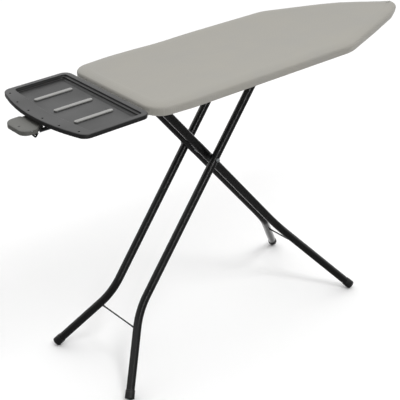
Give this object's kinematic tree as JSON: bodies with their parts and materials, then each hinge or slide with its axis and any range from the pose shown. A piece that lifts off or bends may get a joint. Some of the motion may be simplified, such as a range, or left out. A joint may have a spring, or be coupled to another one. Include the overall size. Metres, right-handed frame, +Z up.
{
  "type": "ironing board",
  "caption": "Folding ironing board: padded tapered board on crossed black tube legs, with a dished iron rest and a height lever grip at its square end.",
  "frame": {"origin": "on the floor, at the middle of the whole object's length and width", "axes": "+X along the board towards its nose, +Y to the left when facing the nose, +Z up"},
  "size_m": [1.575, 0.4338, 0.962],
  "materials": {
    "cover_cloth": "plain woven cotton, grey",
    "pad_foam": "soft foam sheet",
    "board_steel": "grey powder coat on perforated sheet",
    "black_steel": "black powder coat, satin",
    "zinc_steel": "bright zinc plate",
    "tray_plastic": "moulded, fine texture, dark grey",
    "strip_silicone": "light grey silicone, fine ribs",
    "grip_plastic": "moulded, warm grey",
    "black_plastic": "moulded, black",
    "foot_rubber": "moulded, black, satin",
    "slide_nylon": "natural nylon"
  },
  "bodies": {
    "board": {"board_cover": "cover_cloth", "foam_pad": "pad_foam", "board_pan": "board_steel", "hinge_bracket": "black_steel", "hinge_rod": "zinc_steel", "slide_rail_left": "black_steel", "slide_rail_right": "black_steel", "rail_hangers": "black_steel", "iron_tray": "tray_plastic", "heat_strips": "strip_silicone", "tray_arm_left": "black_steel", "tray_arm_right": "black_steel", "tray_clips": "black_plastic", "arm_brackets": "black_steel", "saddle_screws": "zinc_steel", "lever_spring": "zinc_steel"},
    "lever": {"lever_grip": "grip_plastic", "grip_screw": "black_plastic", "lever_rod_left": "black_steel", "lever_rod_right": "black_steel", "stay_wire": "zinc_steel", "catch_clip": "black_plastic", "lever_crossbar": "zinc_steel", "lever_arm_left": "zinc_steel", "lever_arm_right": "zinc_steel", "height_rack_left": "zinc_steel", "height_rack_right": "zinc_steel", "rack_rivets": "zinc_steel"},
    "catch": {"catch_bail": "black_steel"},
    "rear_legs": {"rear_leg_left": "black_steel", "rear_leg_right": "black_steel", "rear_hinge_tube": "black_steel", "rear_leg_plugs": "black_plastic", "rear_brace": "black_steel", "rear_foot_left": "foot_rubber", "rear_foot_right": "foot_rubber", "pivot_axle": "zinc_steel", "axle_sleeve": "zinc_steel", "pivot_spacers": "black_plastic", "pivot_caps": "zinc_steel"},
    "front_legs": {"front_leg_left": "black_steel", "front_leg_right": "black_steel", "front_crossbar": "black_steel", "slide_caps": "slide_nylon", "front_leg_plugs": "black_plastic", "front_brace": "black_steel", "front_foot_left": "foot_rubber", "front_foot_right": "foot_rubber"}
  },
  "joints": [
    {"name": "legs_fold", "type": "hinge", "parent": "board", "child": "rear_legs", "pos_m": [-0.3255, 0, 0.9], "axis": [0, -1, 0], "range_deg": [0, 47]},
    {"name": "front_legs_pivot", "type": "hinge", "parent": "rear_legs", "child": "front_legs", "pos_m": [-0.11008, 0, 0.64778], "axis": [0, 1, 0], "range_deg": [0, 98.8]},
    {"name": "height_lever", "type": "hinge", "parent": "board", "child": "lever", "pos_m": [-0.3255, 0, 0.9], "axis": [0, 1, 0], "range_deg": [0, 0.9], "stiffness_Nm_per_rad": 20, "springref_deg": -8.59},
    {"name": "safety_catch", "type": "hinge", "parent": "lever", "child": "catch", "pos_m": [-0.745, -0.046, 0.9215], "axis": [1, 0, 0], "range_deg": [-60, 60]}
  ],
  "couplings": [
    {"joint": "front_legs_pivot", "follows": "legs_fold", "ratio": 2.1}
  ]
}
